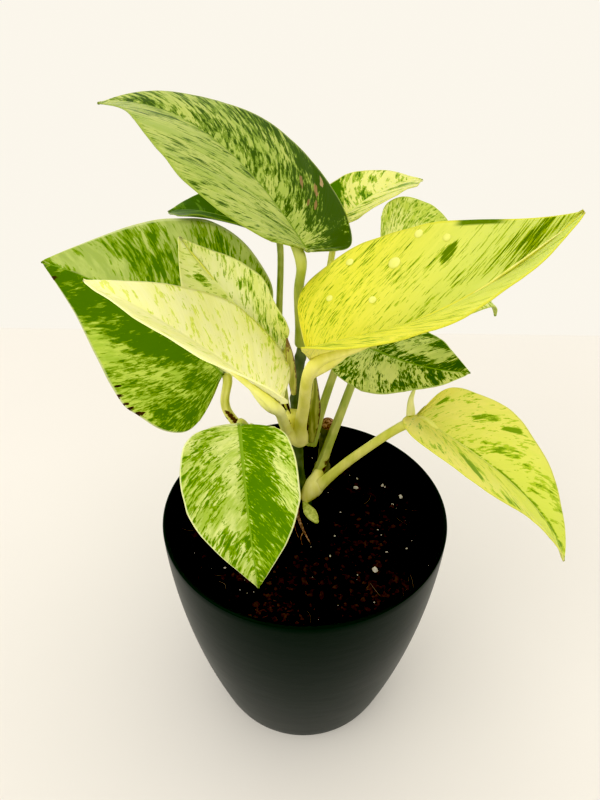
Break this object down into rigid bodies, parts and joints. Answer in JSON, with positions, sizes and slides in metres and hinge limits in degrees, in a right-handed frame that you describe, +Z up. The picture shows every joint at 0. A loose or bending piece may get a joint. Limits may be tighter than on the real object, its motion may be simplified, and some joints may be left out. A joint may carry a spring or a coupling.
{
  "type": "potted pothos plant",
  "caption": "Young marble-variegated pothos with heart-shaped leaves on slender stalks, rooted in a plain round black plastic pot.",
  "frame": {"origin": "middle of the pot's underside, on the surface that it stands on", "axes": "+Z up along the pot's axis, +X to the right and +Y to the back, as seen from the side that the front leaf faces"},
  "size_m": [0.2008, 0.1456, 0.2384],
  "materials": {
    "black_plastic": "satin",
    "potting_mix": "matte",
    "green_stem": "satin",
    "leaf_sheath": "satin",
    "dry_root": "matte",
    "yellow_leaf": "satin",
    "cream_leaf": "satin",
    "marbled_leaf": "satin",
    "green_leaf": "satin"
  },
  "bodies": {
    "root": {"pot": "black_plastic", "soil": "potting_mix", "main_stem": "green_stem", "back_stem": "green_stem", "cut_stem": "green_stem", "leaf_right_long": "yellow_leaf", "leaf_left_cream": "cream_leaf", "leaf_front_heart": "marbled_leaf", "leaf_left_broad": "green_leaf", "leaf_middle_small": "cream_leaf", "leaf_top": "marbled_leaf", "leaf_back_right": "cream_leaf", "leaf_back_hooked": "marbled_leaf", "leaf_right_small": "marbled_leaf", "leaf_right_drooping": "yellow_leaf", "leaf_back_left": "green_leaf", "new_leaf_sheath": "leaf_sheath", "old_leaf_sheath": "leaf_sheath", "side_bud": "leaf_sheath", "air_root": "dry_root"}
  },
  "joints": []
}
